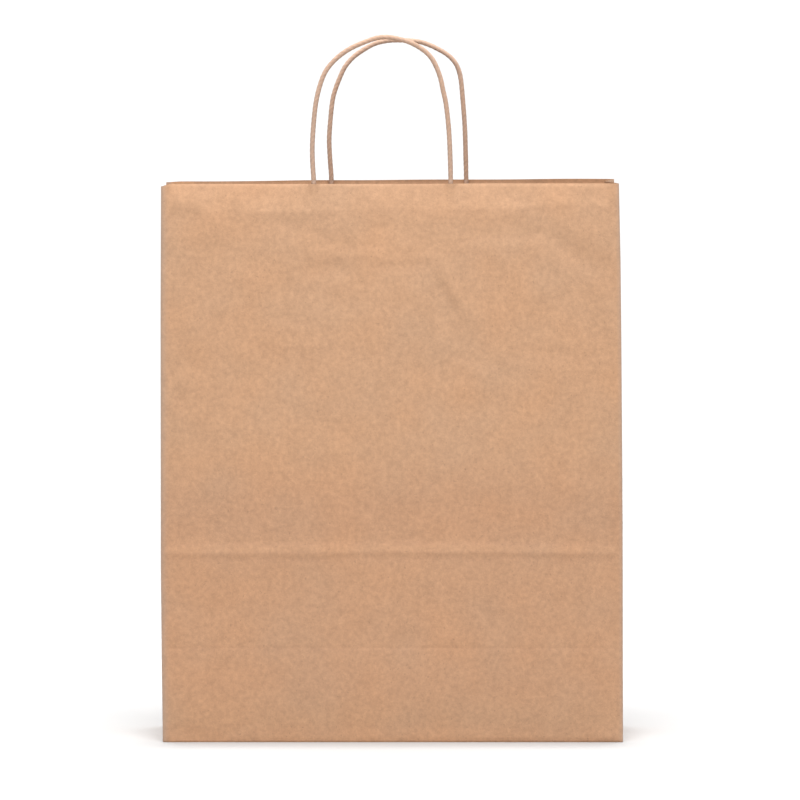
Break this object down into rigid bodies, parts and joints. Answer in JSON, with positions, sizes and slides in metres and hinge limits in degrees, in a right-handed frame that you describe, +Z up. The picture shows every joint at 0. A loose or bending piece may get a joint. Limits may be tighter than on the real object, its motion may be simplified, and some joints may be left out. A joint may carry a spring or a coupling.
{
  "type": "paper gift bag",
  "caption": "Upright kraft paper carrier bag with folding side gussets, a flat block bottom and twisted-paper cord handles.",
  "frame": {"origin": "middle of the underside of the block bottom, on the surface that the bag stands on", "axes": "+Z up towards the handles, -Y out of the front wall, +X to the right seen from the front"},
  "size_m": [0.32, 0.132, 0.4938],
  "materials": {
    "kraft_paper": "matte",
    "patch_paper": "matte",
    "cord_paper": "matte"
  },
  "bodies": {
    "front_wall": {"front_panel": "kraft_paper", "front_patch_backing": "patch_paper", "front_patch_cover": "patch_paper", "front_cord_end_left": "cord_paper", "front_cord_end_right": "cord_paper", "bottom_flap_back": "kraft_paper", "bottom_flap_front": "kraft_paper", "bottom_tuck_left": "kraft_paper", "bottom_tuck_right": "kraft_paper"},
    "left_gusset_a": {"left_gusset_front": "kraft_paper"},
    "left_gusset_b": {"left_gusset_back": "kraft_paper"},
    "right_gusset_a": {"right_gusset_front": "kraft_paper"},
    "right_gusset_b": {"right_gusset_back": "kraft_paper"},
    "back_wall": {"back_panel": "kraft_paper", "side_seam_tab": "kraft_paper", "back_patch_backing": "patch_paper", "back_patch_cover": "patch_paper", "back_cord_end_left": "cord_paper", "back_cord_end_right": "cord_paper"},
    "front_loop": {"front_handle": "cord_paper"},
    "back_loop": {"back_handle": "cord_paper"}
  },
  "joints": [
    {"name": "left_front_fold", "type": "hinge", "parent": "front_wall", "child": "left_gusset_a", "pos_m": [-0.1596, -0.0652, 0.2], "axis": [0, 0, -1], "range_deg": [0, 76]},
    {"name": "left_centre_crease", "type": "hinge", "parent": "left_gusset_a", "child": "left_gusset_b", "pos_m": [-0.152, 0, 0.2], "axis": [0, 0, 1], "range_deg": [0, 152]},
    {"name": "left_back_fold", "type": "hinge", "parent": "left_gusset_b", "child": "back_wall", "pos_m": [-0.1596, 0.0652, 0.2], "axis": [0, 0, -1], "range_deg": [0, 76]},
    {"name": "right_front_fold", "type": "hinge", "parent": "front_wall", "child": "right_gusset_a", "pos_m": [0.1596, -0.0652, 0.2], "axis": [0, 0, 1], "range_deg": [0, 76]},
    {"name": "right_centre_crease", "type": "hinge", "parent": "right_gusset_a", "child": "right_gusset_b", "pos_m": [0.152, 0, 0.2], "axis": [0, 0, -1], "range_deg": [0, 152]},
    {"name": "front_handle_bend", "type": "hinge", "parent": "front_wall", "child": "front_loop", "pos_m": [0, -0.06295, 0.392], "axis": [1, 0, 0], "range_deg": [-30, 85], "stiffness_Nm_per_rad": 0.02},
    {"name": "back_handle_bend", "type": "hinge", "parent": "back_wall", "child": "back_loop", "pos_m": [0, 0.06295, 0.392], "axis": [-1, 0, 0], "range_deg": [-30, 85], "stiffness_Nm_per_rad": 0.02}
  ],
  "couplings": [
    {"joint": "left_centre_crease", "follows": "left_front_fold", "ratio": 2},
    {"joint": "left_back_fold", "follows": "left_front_fold", "ratio": 1},
    {"joint": "right_front_fold", "follows": "left_front_fold", "ratio": 1},
    {"joint": "right_centre_crease", "follows": "left_front_fold", "ratio": 2}
  ]
}
